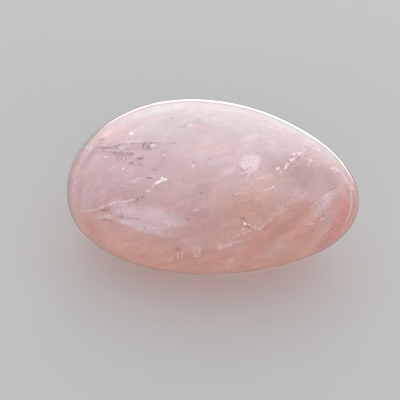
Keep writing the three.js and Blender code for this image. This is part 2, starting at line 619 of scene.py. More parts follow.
class Tint(NamedTuple):
    """A soft-edged part of the body with a colour of its own."""
    name: str
    pixel: tuple  # where its middle shows
    reach: tuple  # mm to each side along its length, across it and into the stone
    turn: float  # degrees that its length is turned anticlockwise in the picture
    edge: float  # share of the reach over which it fades
    colour: str  # which of the quartz colours it has
    share: float  # how much of the body's colour it takes


TINTS = [Tint(*row) for row in (
    ("lilac left half", (120, 166), (14, 8.5, 8), 6, 0.9, "lilac", 0.85),
    ("shaded upper left", (90, 154), (2.4, 5.5, 5), -38, 0.9, "plum", 0.7),
    ("pink left end", (72, 188), (2.6, 7, 6), 0, 0.9, "blush", 0.7),
    ("pale lilac left", (86, 201), (3.2, 3.4, 4), 0, 0.9, "blush", 0.85),
    ("dusky right", (305, 171), (10, 6.4, 6), 20, 0.9, "dusk", 0.8),
    ("dusky far right", (331, 176), (3.6, 4.8, 5), -40, 0.9, "dusk", 0.75),
    ("dusky middle", (204, 182), (3.4, 4.6, 5), -30, 0.9, "dusk", 0.3),
    ("rosy middle left", (184, 172), (2.4, 6, 5), 30, 0.9, "rose", 0.5),
    ("rosy upper middle", (205, 128), (4, 3, 5), 0, 0.9, "rose", 0.6),
    ("grey shoulder", (298, 130), (12, 4.6, 6), -28, 0.9, "frost", 0.85),
    ("grey far shoulder", (333, 157), (4.5, 2, 5), -48, 0.9, "frost", 0.7),
    ("grey back", (275, 117), (13, 2, 5), -24, 0.9, "frost", 0.6),
    ("grey back at the left", (152, 112), (10, 1.8, 5), 20, 0.9, "frost", 0.5),
    ("shade right of corner", (275, 168), (4.4, 4, 5), 0, 0.9, "dusk", 0.3),
    ("tan below corner", (264, 181), (6, 2.6, 5), 14, 0.9, "tan", 0.5),
    ("tan middle", (254, 207), (9, 6, 6), 14, 0.9, "tan", 0.8),
    # Partly painted light: the belly's deeper pink stands for light's long way through the stone
    ("salmon belly", (190, 262), (22, 3.6, 9), 0, 0.9, "salmon", 0.6),
    ("peach lower right", (284, 243), (12, 6.6, 8), 34, 0.25, "peach", 0.7),
    ("shade under the curved edge", (287, 225), (11, 1.6, 5), 34, 0.9, "dusk", 0.2),
    ("pale low middle", (192, 244), (3, 2, 4), 0, 0.9, "milk", 0.25),
    ("peach upright", (212, 203), (1.3, 4.5, 5), 0, 0.7, "honey", 0.3),
    ("pale lower right", (276, 250), (5, 2.6, 4), 30, 0.9, "milk", 0.25),
    ("pink under the oblong", (309, 221), (3.6, 2.4, 4), 40, 0.9, "blush", 0.3),
    ("reddish lower left", (90, 228), (5, 2.2, 5), -46, 0.9, "rust", 0.5),
    ("reddish nose", (345, 219), (5.4, 9.5, 10), -12, 0.9, "rust", 0.75),
    ("reddish lower rim", (332, 235), (8, 2.6, 9), 38, 0.9, "rust", 0.75),
    ("reddish narrow end", (355, 207), (2.6, 6.5, 8), -4, 0.8, "rust", 0.75),
    ("pale lens", (153, 217), (8.8, 2.8, 4), -10, 0.8, "milk", 0.85),
    ("pale lens end", (123, 210), (4.4, 1.9, 3), -14, 0.7, "milk", 0.8),
    ("lower edge of the pale lens", (141, 227), (9, 1.3, 4), -15, 0.8, "milk", 0.75),
    ("pale oblong", (325, 203), (4.2, 1.5, 4), 44, 0.7, "milk", 0.45),
    ("pale corner", (249.6, 163), (2.2, 2.0, 4), 62, 0.3, "milk", 0.6),
    ("pale above corner", (252, 138), (2.4, 1.1, 3), 30, 0.8, "milk", 0.5),
    ("pink left of corner", (229, 154), (3.2, 4.4, 5), 0, 0.9, "blush", 0.5),
    ("warm upper middle", (214, 146), (8, 4.6, 5), 8, 0.9, "belly", 0.25),
    ("pale upper middle", (214, 148), (7, 4.4, 5), 8, 0.9, "milk", 0.15),
    ("pale left of corner", (230, 171), (1.9, 1.1, 3), 30, 0.8, "milk", 0.4),
    ("smoky wedge under the long crack", (104, 210.8), (2, 0.4, 1.5), 10, 0.8, "plum", 0.35),
    ("pale round the crumbs", (107.5, 216.6), (2.4, 1, 2), 6, 0.8, "milk", 0.75),
    ("smoky patch in the lens", (122.6, 215.8), (1.1, 0.6, 1.5), 0, 0.8, "plum", 0.45),
    # Painted shade: the smoke grey round the open cracks
    ("grey upper crack", (116, 150), (5.5, 1.7, 4), 0, 0.8, "smoke", 0.75),
    ("grey crack end", (150, 146), (2.8, 1.4, 3), 0, 0.8, "smoke", 0.6),
    ("grey below crack", (161, 161), (2.6, 4.2, 4), 0, 0.9, "smoke", 0.4),
    ("yellow rim", (106, 134.4), (2.6, 1.1, 2), 44, 0.9, "honey", 0.75),
    ("yellow-green rim", (120, 128), (2.6, 1, 2), 30, 0.9, "honey", 0.45),
    ("orange spot", (110.5, 168.6), (1.9, 0.8, 1.5), 14, 0.9, "honey", 0.65),
)]
TINT_WANDER_WIDTH = 3 * MM  # how wide the waves in the tints' edges are
TINT_WANDER = 0.8 * MM  # and how far they go

# The body's colours from the belly to the back, with the height that each is reached at. They are partly
# the stone's own colour and partly painted light: the paler back paints the sheen on top, and the salmon
# belly the deeper pink that light takes on its long way down
LAYERS = ((9 * MM, "belly"), (15 * MM, "flank"), (22 * MM, "crown"), (28 * MM, "back"))

# Clouds, streaks along the growth, broken patches and a fine mottle make places a little lighter or darker
CLOUD_WIDTH = 2.5 * MM
CLOUD_ROUGHNESS = 0.65
CLOUD_CONTRAST = 0.06
STREAK = Vector((5, 0.8, 2)) * MM  # length, height and depth of a streak
STREAK_SEEN_AT = (240, 200)  # pixel whose sight line sets which way the streaks lie
STREAK_TURN = 18  # degrees that they rise to the right in the picture
STREAK_CONTRAST = 0.05
PATCHES_PER_STREAK = 0.8
PATCH_CONTRAST = 0.025
MOTTLE_WIDTH = 0.5 * MM
MOTTLE_CONTRAST = 0.04


def heart_frame(skin, camera, pixel, depth, turn):
    """A point so deep on a pixel's sight line, with axes along the picture, across it and along the line."""
    entry, way, _ = sight_inside(skin, camera_sight(camera, pixel))
    right, _, _ = camera.matrix_world.to_3x3().transposed()
    right = Matrix.Rotation(math.radians(turn), 3, -way) @ (right - way * right.dot(way)).normalized()
    return entry + way * depth, Matrix((right, right.cross(way), -way)).transposed()


def body_colour(tree, colours, skin, camera, depth):
    """The colour of the stone's body from place to place, for a body that lies this deep under the skin."""
    shades = {name: (*getattr(colours, name), 1) for name in colours.__annotations__}
    place = add(tree, "ShaderNodeTexCoord").outputs["Object"]
    wave = add(tree, "ShaderNodeTexNoise", None, place, Scale=1 / TINT_WANDER_WIDTH, Detail=4.0)
    level = add(tree, "ShaderNodeVectorMath", "SUBTRACT", wave.outputs["Color"], (0.5, 0.5, 0.5))
    drift = add(tree, "ShaderNodeVectorMath", "SCALE", level, Scale=2 * TINT_WANDER)
    wandering = add(tree, "ShaderNodeVectorMath", "ADD", place, drift)

    # Salmon in the belly, then pink, then paler towards the back: partly the stone's own colour,
    # partly painted light (sheen on top, deeper pink low down)
    height = add(tree, "ShaderNodeSeparateXYZ", None, wandering).outputs["Z"]
    below, colour = LAYERS[0][0], shades[LAYERS[0][1]]
    for level, layer in LAYERS[1:]:
        risen = add(tree, "ShaderNodeMapRange", {"interpolation_type": "SMOOTHSTEP"}, height, From_Min=below,
                    From_Max=level)
        colour = add(tree, "ShaderNodeMix", {"data_type": "RGBA"}, risen, in6=colour,
                     in7=shades[layer]).outputs[2]
        below = level

    for tint in TINTS:
        middle, axes = heart_frame(skin, camera, tint.pixel, depth, tint.turn)
        local = add(tree, "ShaderNodeMapping", {"vector_type": "TEXTURE"}, wandering, Location=middle,
                    Rotation=axes.to_euler(), Scale=Vector(tint.reach) * MM)
        distance = add(tree, "ShaderNodeVectorMath", "LENGTH", local).outputs["Value"]
        share = add(tree, "ShaderNodeMapRange", {"interpolation_type": "SMOOTHSTEP"}, distance, From_Min=1.0,
                    From_Max=1.0 - tint.edge, To_Min=0.0, To_Max=tint.share)
        colour = add(tree, "ShaderNodeMix", {"data_type": "RGBA"}, share, in6=colour,
                     in7=shades[tint.colour]).outputs[2]

    _, grain = heart_frame(skin, camera, STREAK_SEEN_AT, depth, STREAK_TURN)
    drawn_out = add(tree, "ShaderNodeMapping", {"vector_type": "TEXTURE"}, wandering,
                    Rotation=grain.to_euler(), Scale=STREAK)
    cloud = add(tree, "ShaderNodeTexNoise", None, wandering, Scale=1 / CLOUD_WIDTH, Detail=6.0,
                Roughness=CLOUD_ROUGHNESS)
    streak = add(tree, "ShaderNodeTexNoise", None, drawn_out, Scale=1.0, Detail=3.0)
    mottle = add(tree, "ShaderNodeTexNoise", None, place, Scale=1 / MOTTLE_WIDTH, Detail=2.0)
    patch = add(tree, "ShaderNodeTexVoronoi", {"feature": "F1"}, drawn_out, Scale=PATCHES_PER_STREAK)
    lone = add(tree, "ShaderNodeSeparateXYZ", None, patch.outputs["Color"])
    for value, low, high, contrast in ((cloud, NOISE_LOW, NOISE_HIGH, CLOUD_CONTRAST),
                                       (streak, NOISE_LOW, NOISE_HIGH, STREAK_CONTRAST),
                                       (mottle, NOISE_LOW, NOISE_HIGH, MOTTLE_CONTRAST),
                                       (lone, 0.0, 1.0, PATCH_CONTRAST)):
        shade = add(tree, "ShaderNodeMapRange", None, value, low, high, 1 - contrast, 1 + contrast)
        colour = add(tree, "ShaderNodeVectorMath", "SCALE", colour, Scale=shade).outputs[0]
    return colour


# The milky heart, some millimetres under the skin

class STONE_OT_cloud_heart(bpy.types.Operator):
    """Fills the stone with the milky quartz that lies under its clear skin"""

    bl_idname = "stone.cloud_heart"
    bl_label = "Cloud Heart"

    def execute(self, context):
        flaws = context.scene.crystal_flaws
        stone = bpy.data.objects[PEBBLE]
        material = milky_quartz(context.scene.quartz_colours, skin_of(stone), context.scene.camera,
                                flaws.clear_depth + flaws.heart_unevenness / 2)
        sizes = {"Clear Depth": flaws.clear_depth, "Unevenness": flaws.heart_unevenness,
                 "Billow Width": BILLOW_WIDTH, "Clear End": CLEAR_END}
        heart = grown(heart_tree(material, sizes), "milky_heart", sizes, stone.data.copy())
        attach(heart, "root")
        return {"FINISHED"}


BILLOW_WIDTH = 14 * MM  # of the waves that the top of the milk lies in
CLEAR_END = 1.5 * MM  # how much deeper the milk lies at the narrow end
CLEAR_END_FROM = 20 * MM  # X that it begins to sink at


def heart_tree(material, names):
    """The tree that draws the stone's skin inwards, unevenly, to where the quartz turns milky."""
    tree, sizes = new_tree("Heart", names)
    per_width = add(tree, "ShaderNodeMath", "DIVIDE", 1.0, sizes["Billow Width"])
    billow = add(tree, "ShaderNodeTexNoise", Scale=per_width, Detail=2.0)
    swell = add(tree, "ShaderNodeMapRange", None, billow, NOISE_LOW, NOISE_HIGH)
    uneven = add(tree, "ShaderNodeMath", "MULTIPLY", swell, sizes["Unevenness"])
    place = add(tree, "ShaderNodeSeparateXYZ", None, add(tree, "GeometryNodeInputPosition"))
    at_end = add(tree, "ShaderNodeMapRange", {"interpolation_type": "SMOOTHSTEP"}, place.outputs["X"],
                 CLEAR_END_FROM, CAD_HIGH.x)
    clearer = add(tree, "ShaderNodeMath", "MULTIPLY", at_end, sizes["Clear End"])
    depth = add(tree, "ShaderNodeMath", "ADD", sizes["Clear Depth"], uneven)
    depth = add(tree, "ShaderNodeMath", "ADD", depth, clearer)
    inwards = add(tree, "ShaderNodeMath", "MULTIPLY", depth, -1.0)
    normal = add(tree, "GeometryNodeInputNormal")
    shift = add(tree, "ShaderNodeVectorMath", "SCALE", normal, Scale=inwards)
    drawn_in = add(tree, "GeometryNodeSetPosition", Geometry=sizes["Geometry"], Offset=shift)
    smooth = add(tree, "GeometryNodeSetShadeSmooth", None, drawn_in)
    end_tree(tree, smooth, material)
    return tree


GLOW_DEPTH = 20 * MM  # how far red light wanders in the milk
GLOW_SHARES = (1.0, 0.8, 0.75)  # and red, green and blue light, as shares of that


def milky_quartz(colours, skin, camera, depth):
    """Quartz full of tiny fluid bubbles: it scatters all light that enters it and has no gloss of its own."""
    material = bpy.data.materials.new("milky_rose_quartz")
    material.use_nodes = True
    tree = material.node_tree
    surface = tree.nodes["Principled BSDF"]
    surface.subsurface_method = "RANDOM_WALK"
    surface.inputs["Roughness"].default_value = 1.0
    surface.inputs["Specular IOR Level"].default_value = 0.0
    surface.inputs["Subsurface Weight"].default_value = 1.0
    surface.inputs["Subsurface Radius"].default_value = GLOW_SHARES
    surface.inputs["Subsurface Scale"].default_value = GLOW_DEPTH
    tree.links.new(body_colour(tree, colours, skin, camera, depth), surface.inputs["Base Color"])
    return material


# Cracks and veils inside the stone: sheets that hold flecks

class Sheet(NamedTuple):
    """A narrow sheet of flecks: the line that it follows, with its width at each point, and how it lies."""
    path: tuple  # x, y and width, in pixels of the camera's picture, or in mm where it is seen from a side
    depth: float  # mm under the skin
    dip: float  # mm that its second edge lies deeper than its first
    cover: float  # share of the sheet that its flecks hide
    fleck: float  # mm, length of a usual fleck
    side: tuple = None  # turn and height of the side that it is seen from, where that isn't the camera


# Healed cracks, whose fluid bubbles and broken faces scatter the light
PALE_SHEETS = [Sheet(*row) for row in (
    # The jagged crack at the upper left
    (((126, 142, 1.6), (135, 141.2, 2.3), (146, 140.8, 1.6)), 0.6, 0.3, 0.62, 0.18),
    (((150, 146.2, 2.6), (153, 146, 3.9), (157, 145.3, 2)), 0.6, 0.2, 0.69, 0.21),
    (((117, 146.5, 2.6), (121, 147.5, 5.2), (126, 147, 2.6)), 0.9, 0.3, 0.44, 0.18),
    (((99, 145, 2), (108, 145.5, 3.2), (116, 144.5, 2)), 1, 0.3, 0.25, 0.18),
    (((104, 149.8, 2), (112, 150.3, 2.6), (128, 151, 2.6), (136, 151.5, 1.3)), 0.9, 0.4, 0.38, 0.18),
    (((128, 151.5, 1.3), (135, 153.5, 2.6), (142, 155.5, 2)), 0.8, 0.4, 0.38, 0.18),
    (((129, 160, 2.6), (136, 161.5, 5.2), (144, 164, 2.6)), 1, 0.5, 0.19, 0.21),
    (((112, 157, 3.9), (120, 157, 6.5), (128, 158, 3.9)), 0.9, 0.3, 0.15, 0.26),
    (((97, 141, 1.3), (104, 135.2, 2.9), (112, 130, 2)), 0.6, 0.2, 0.31, 0.18),
    (((155, 150, 2.6), (164, 154, 6.5), (170, 160, 2.6)), 1.1, 0.3, 0.07, 0.21),
    # Streaks and the bright knot in the middle of the left half
    (((126, 183.4, 1.2), (131, 181.2, 2.2), (137, 179, 1.8), (143.5, 178, 1.2)), 0.6, 0.3, 0.76, 0.17),
    (((131, 183, 1), (137, 181.4, 1.6), (143, 180.6, 1)), 0.8, 0.2, 0.55, 0.17),
    (((126, 176.6, 1.4), (131, 174.8, 3.1), (137, 173.4, 1.4)), 1, 0.3, 0.38, 0.17),
    (((119, 186.6, 1.4), (125, 184.4, 2.8), (131, 182.8, 1.4)), 1, 0.3, 0.19, 0.17),
    (((152, 188.5, 1.7), (154.5, 185, 3.6), (158, 182, 3.6), (163, 179.5, 3.6), (167.5, 178, 2)),
     0.7, 0.3, 0.46, 0.18),
    (((145.5, 192, 1.4), (148.5, 191, 2.8), (152, 190.2, 1.4)), 0.6, 0.2, 0.56, 0.17),
    (((155, 190, 1.4), (149, 194, 2.1), (142, 197, 1.4)), 0.9, 0.3, 0.31, 0.17),
    (((134, 196.5, 1.4), (138, 194.5, 2.2), (143, 193.2, 1.4)), 0.9, 0.3, 0.31, 0.17),
    # Growth streaks of the left half
    (((94, 203, 1.5), (103, 199.6, 3), (112, 196.4, 1.5)), 1.3, 0.3, 0.16, 0.17),
    (((94, 196, 1.5), (102, 192.6, 3), (110, 189.4, 1.5)), 1.3, 0.3, 0.16, 0.17),
    (((104, 184, 1.5), (112, 181, 3), (121, 178.6, 1.5)), 1.3, 0.3, 0.12, 0.17),
    (((86, 200.4, 1.5), (94, 197, 2.4), (101, 193.4, 1.5)), 1.2, 0.3, 0.12, 0.17),
    (((110, 193.8, 1.5), (119, 191, 2.4), (129, 189, 1.5)), 1.2, 0.3, 0.14, 0.17),
    # The long crack that runs to the left end, and the crumbs under it
    (((79, 211.6, 1.4), (88, 211.4, 2.5), (95, 209.6, 2.2), (103, 208.8, 1.4)), 0.7, 0.3, 0.62, 0.19),
    (((99, 208, 1.6), (105, 205.6, 3.2), (112, 203.2, 3.2), (119, 201.8, 2.6), (128, 200.6, 2.2),
     (136, 198.8, 1.4)), 0.6, 0.3, 0.88, 0.18),
    (((93, 205.4, 2.8), (103, 202.6, 5.6), (116, 199.6, 5.6), (130, 197.5, 2.8)), 1.2, 0.6, 0.09, 0.14),
    (((118, 206, 1.4), (128, 204.6, 2.8), (138, 204.4, 1.4)), 1.1, 0.4, 0.19, 0.17),
    (((97, 218, 1.4), (101, 217.4, 2.5), (106, 216.6, 3.6), (110.5, 216.2, 2.2)), 0.5, 0.2, 0.56, 0.22),
    # The pale lens under it
    (((106, 211, 2.4), (120, 212.5, 9.6), (140, 216, 15.6), (160, 219, 14.4), (174, 221, 9.6),
     (186, 223, 3.6)), 1.5, 0.3, 0.05, 0.15),
    (((111, 219.8, 1.2), (122, 222.4, 2.9), (135, 225.6, 2.9), (150, 228, 2.4), (166, 228.6, 1.2)),
     1, 0.3, 0.33, 0.18),
    (((112, 217.8, 1.2), (122, 220.4, 1.9), (134, 221.4, 1.9), (142, 221.6, 1.2)), 0.8, 0.2, 0.45, 0.18),
    (((124, 207.6, 1.2), (138, 207.6, 2.2), (154, 209.8, 2.2), (170, 213.8, 1.2)), 1.2, 0.3, 0.2, 0.18),
    (((164, 224.6, 1.2), (174, 224.8, 2.2), (184, 224.4, 1.2)), 1, 0.3, 0.26, 0.18),
    # Upright streaks low in the middle
    (((167.5, 261.6, 1.8), (170.4, 260.6, 3.6), (173.4, 259.4, 1.8)), 0.7, 0.3, 0.38, 0.17),
    (((168, 258.4, 1.2), (171.6, 257, 2.4), (175.4, 257.4, 1.2)), 0.8, 0.2, 0.29, 0.17),
    (((177.6, 259, 1.2), (177.8, 255.5, 2.4), (178, 252, 1.2)), 0.7, 0.2, 0.63, 0.17),
    (((182.3, 258, 1), (182.2, 255, 1.9), (182, 251.6, 1)), 0.7, 0.2, 0.52, 0.17),
    (((191.5, 256.8, 1.2), (196, 256.4, 2.2), (200.5, 256, 1.2)), 0.7, 0.1, 0.57, 0.17),
    (((195.5, 256, 6), (196.8, 251, 9.6), (198.4, 246, 6)), 1.2, 0.4, 0.25, 0.19),
    (((200, 256, 1.2), (199.4, 251, 2.2), (198.8, 246.6, 1.2)), 0.8, 0.2, 0.52, 0.17),
    (((194, 256, 1.2), (194.3, 252, 1.7), (194.8, 248, 1.2)), 0.8, 0.2, 0.34, 0.17),
    (((183, 247, 2.4), (188, 240, 6), (193, 234, 3.6)), 1.4, 0.4, 0.09, 0.19),
    (((221, 250.6, 1.7), (220.4, 246, 4.8), (219.6, 240.6, 1.9)), 0.7, 0.3, 0.46, 0.19),
    (((216.4, 248.6, 1.4), (221, 247.6, 3.1), (226, 245.6, 3.6), (232, 243.4, 2.9), (240, 240.8, 1.4)),
     0.8, 0.4, 0.57, 0.19),
    (((224, 243, 2.4), (230, 240, 4.8), (236, 238, 2.4)), 1.2, 0.4, 0.14, 0.17),
    (((226, 269, 2.4), (230, 264, 10.8), (233, 258, 4.8)), 1.2, 0.5, 0.23, 0.17),
    (((190.6, 212.4, 1.2), (196, 210, 3.1), (200, 207.4, 2.9), (207, 207.8, 1.7)), 1, 0.3, 0.34, 0.19),
    (((183, 206, 1.2), (188, 204.6, 1.9), (192, 203, 1.2)), 1, 0.2, 0.29, 0.17),
    # The curved edge where the clouded right half ends
    (((246, 230.4, 1.7), (254, 230, 3.1), (262, 227, 3.7), (267, 221.6, 3.4), (273, 216.4, 3.4),
     (280, 210.6, 3.4), (287, 205.6, 4.1)), 1.2, 0.4, 0.16, 0.18),
    (((230, 238.6, 1.2), (240, 234.6, 1.8), (249, 231.4, 1.8), (257, 230.2, 1.8), (263.6, 226.4, 2),
     (268.6, 220.6, 2), (275, 216.2, 1.8), (283, 212, 1.8), (290, 206, 1.2)), 1, 0.2, 0.34, 0.15),
    (((255, 228, 3.4), (259, 225, 11.9), (265, 221, 5.1)), 1.2, 0.3, 0.15, 0.22),
    (((271, 216, 5.1), (279, 210, 11.9), (287, 204.6, 8.5), (293, 200, 5.1)), 1.2, 0.3, 0.1, 0.18),
    (((288, 202, 5.1), (297, 197.4, 13.6), (304, 192.6, 13.6), (310, 188, 6.8)), 1.2, 0.3, 0.08, 0.18),
    (((298, 199.4, 1.7), (304, 194.6, 3.4), (309.6, 188.4, 1.7)), 1, 0.3, 0.16, 0.17),
    (((244.6, 223.4, 1.4), (251, 225.6, 2.4), (258.5, 229.2, 1.4)), 0.5, 0.1, 0.38, 0.2),
    (((239.6, 230.6, 1.4), (245, 228, 2), (249, 226, 1.4)), 0.7, 0.1, 0.34, 0.2),
    (((240, 242, 1.7), (248, 238, 3.4), (258, 232.6, 1.7)), 1.2, 0.4, 0.13, 0.2),
    # The pale corner and the streaks round it
    (((254.6, 153.4, 12), (250.4, 159, 20), (248.8, 165, 19), (249, 171, 14), (249.6, 175, 9)),
     1.2, 0.3, 0.3, 0.15),
    (((258.4, 153.6, 5), (256.6, 160, 6), (254.6, 167, 6), (253, 173, 4)), 0.9, 0.2, 0.3, 0.15),
    (((238, 163.4, 2), (244, 166.6, 7), (251, 169.6, 8), (255, 170, 3)), 0.9, 0.2, 0.22, 0.15),
    (((240.6, 175, 1.1), (246.5, 171.6, 2), (252, 168, 1.1)), 0.6, 0.2, 0.68, 0.19),
    (((246, 176.4, 1.1), (251, 173, 2), (256.6, 169.4, 1.1)), 0.7, 0.2, 0.68, 0.17),
    (((236, 156, 2.2), (240, 152, 4.4), (246, 149, 2.2)), 1.2, 0.3, 0.2, 0.17),
    (((240, 141.5, 1.7), (247, 139, 3.9), (255, 136, 3.3), (259, 134.5, 1.7)), 1.2, 0.4, 0.27, 0.17),
    (((243, 145, 1.1), (249, 142.5, 2.2), (256, 140.6, 1.1)), 1.2, 0.3, 0.27, 0.17),
    (((240, 150, 2.2), (246, 146, 6.6), (254, 144, 3.3)), 1.4, 0.3, 0.14, 0.17),
    (((223, 176, 1.7), (228.5, 172.4, 4), (235, 167.8, 2.4)), 1, 0.3, 0.22, 0.15),
    # Streaks to the right of the middle
    (((255, 179, 1.3), (263, 177.6, 2.6), (274, 175, 1.6)), 0.7, 0.2, 0.52, 0.17),
    (((259, 175.8, 1), (266, 174.4, 1.8), (272, 173.6, 1)), 0.9, 0.2, 0.23, 0.17),
    (((263, 190, 1.3), (268.5, 188.8, 2.3), (274.5, 187, 1.6)), 0.6, 0.2, 0.63, 0.19),
    (((234.6, 194.2, 1.3), (241, 193, 2.3), (248, 192.4, 1.3)), 0.8, 0.2, 0.46, 0.17),
    (((250, 192, 1), (257, 190.6, 1.8), (264, 190.2, 1)), 0.8, 0.2, 0.34, 0.17),
    (((241, 190.4, 1), (244, 187.4, 2.1), (247, 189.4, 1.8), (252, 186, 1)), 0.8, 0.2, 0.34, 0.17),
    (((236, 183.6, 1), (247, 181, 1.8), (258, 180.4, 1)), 1, 0.2, 0.23, 0.17),
    (((239, 201, 1), (250, 199.4, 1.8), (262, 198, 1)), 1, 0.2, 0.23, 0.17),
    (((240, 208, 1), (249, 206.6, 1.8), (260, 204.4, 1)), 1, 0.2, 0.23, 0.17),
    (((238, 214.4, 1), (246, 213.2, 1.8), (256, 211.6, 1)), 1, 0.2, 0.17, 0.17),
    (((278, 190, 1), (285, 187.8, 1.8), (292, 186, 1)), 1, 0.2, 0.17, 0.17),
    (((262, 196, 1), (272, 193.4, 1.8), (283, 192, 1)), 1, 0.2, 0.17, 0.17),
    # The chain of crumbs at the upper right
    (((275.4, 170.6, 1.4), (277.6, 168.4, 4.2), (279.6, 167, 1.4)), 0.6, 0.3, 0.62, 0.3),
    (((280, 173, 2.8), (284, 170, 8.4), (288, 166.4, 2.8)), 1, 0.3, 0.21, 0.24),
    (((284, 168.6, 1.4), (286.4, 166, 4.8), (288.4, 163, 1.7)), 0.6, 0.3, 0.62, 0.33),
    (((289, 161.4, 2), (292, 159.8, 5), (295.4, 158, 2)), 0.6, 0.3, 0.62, 0.33),
    (((289.6, 155.6, 1.4), (293, 154.6, 3.4), (296, 152.6, 1.4)), 0.7, 0.3, 0.47, 0.3),
    (((297.4, 155.6, 1.4), (300, 153.6, 4.8), (303.4, 151.6, 1.7)), 0.6, 0.3, 0.62, 0.33),
    (((299, 149.6, 1.4), (302.6, 148.4, 2.8), (306, 147, 1.4)), 0.8, 0.3, 0.36, 0.27),
    (((303, 145, 4.2), (309, 144, 14), (316, 145.4, 11.2), (321, 149, 4.2)), 0.8, 0.4, 0.36, 0.3),
    (((302, 138.6, 1.2), (309, 141.6, 2.4), (318, 145.6, 1.2)), 0.6, 0.1, 0.4, 0.26),
    (((302.6, 143, 1.2), (309, 145.8, 2.4), (316, 149, 1.2)), 0.6, 0.1, 0.4, 0.26),
    (((276, 173, 4.2), (286, 167, 12.6), (300, 156, 15.4), (310, 150, 11.2)), 1.3, 0.3, 0.08, 0.3),
    (((305.6, 160.8, 1.4), (308.4, 158.8, 2.5), (311.6, 160.6, 2.5), (309.4, 162.8, 2.2),
     (306, 162, 1.4)), 0.6, 0.2, 0.51, 0.24),
    (((307, 166, 2.8), (312, 164, 7), (317, 160.6, 2.8)), 0.9, 0.2, 0.21, 0.27),
    (((303, 141.5, 2.1), (306.5, 139.5, 4.2), (309, 138.8, 2.1)), 0.6, 0.2, 0.31, 0.27),
    (((330.5, 168.2, 2.1), (333, 168.2, 3.4), (338, 170, 3.4), (340, 173.5, 2.1)), 0.5, 0.2, 0.41, 0.3),
    # The pale oblong, and lines near the narrow end
    (((310.6, 216, 3.3), (315, 211.6, 13.2), (320, 205, 12.1), (327, 199.6, 11), (334, 194, 8.8),
     (339.4, 189.6, 2.2)), 1.3, 0.3, 0.17, 0.17),
    (((313, 206, 1.1), (318.6, 200.6, 2.6), (327, 194.8, 2.6), (336.4, 189, 1.1)), 0.9, 0.3, 0.45, 0.18),
    (((318, 208, 2.2), (323, 203, 7.7), (330, 198, 3.3)), 0.8, 0.3, 0.16, 0.2),
    (((312, 218, 1.5), (315, 215.6, 4.4), (318, 212, 2.2)), 1, 0.3, 0.3, 0.21),
    (((320, 220.4, 2.2), (324, 217.8, 5.5), (328, 215.6, 2.2)), 0.8, 0.2, 0.52, 0.23),
    (((304.6, 224, 0.9), (310, 223.6, 1.5), (315.5, 223.8, 0.9)), 0.7, 0.1, 0.68, 0.18),
    (((316, 236.5, 0.9), (325, 231.5, 1.3), (334, 225.5, 0.9)), 0.8, 0.2, 0.3, 0.18),
    (((326, 236, 0.9), (335, 229, 1.3), (343, 220, 0.9)), 0.7, 0.2, 0.3, 0.18),
    # The line inside the rim of the narrow end
    (((341, 171.6, 1), (346.4, 180, 1.8), (350.4, 190, 2.1), (352, 201, 2.3), (350.4, 212, 2.1),
     (344.6, 224, 1)), 0.5, 0.1, 0.54, 0.18),
    (((349.6, 182, 1.3), (352.2, 187, 2.6), (353.4, 191, 1.3)), 0.4, 0.1, 0.6, 0.18),
    # Round the left end and over the back
    (((72.6, 183, 1), (77, 169, 1.8), (83, 159.6, 1.8), (90.6, 149.5, 1.8), (97, 143, 1)),
     0.5, 0.1, 0.36, 0.17),
    (((74.6, 183.4, 1.3), (76.4, 181.6, 3.1), (78.2, 180, 1.3)), 0.5, 0.1, 0.6, 0.19),
    (((174, 106, 2), (179, 105, 5.2), (184, 106, 2)), 0.5, 0.2, 0.36, 0.17),
    (((185, 124.4, 2.6), (188.6, 124, 5.9), (193, 124.5, 2.6)), 0.7, 0.2, 0.38, 0.24),
    (((191.6, 168, 1.3), (193.8, 165.8, 3.9), (195.6, 164, 1.3)), 0.6, 0.2, 0.42, 0.22),
    (((200, 164, 1.3), (206, 161.4, 2.6), (212, 159.4, 1.3)), 0.8, 0.2, 0.18, 0.17),
    (((232, 111, 1), (244, 112, 1.8), (256, 115.5, 1)), 0.7, 0.2, 0.3, 0.17),
    (((258, 121, 1.3), (270, 127, 2.6), (284, 131, 1.3)), 1, 0.3, 0.24, 0.17),
    (((272, 120, 1.3), (284, 127, 2.6), (296, 136, 1.3)), 0.9, 0.3, 0.24, 0.17),
)]

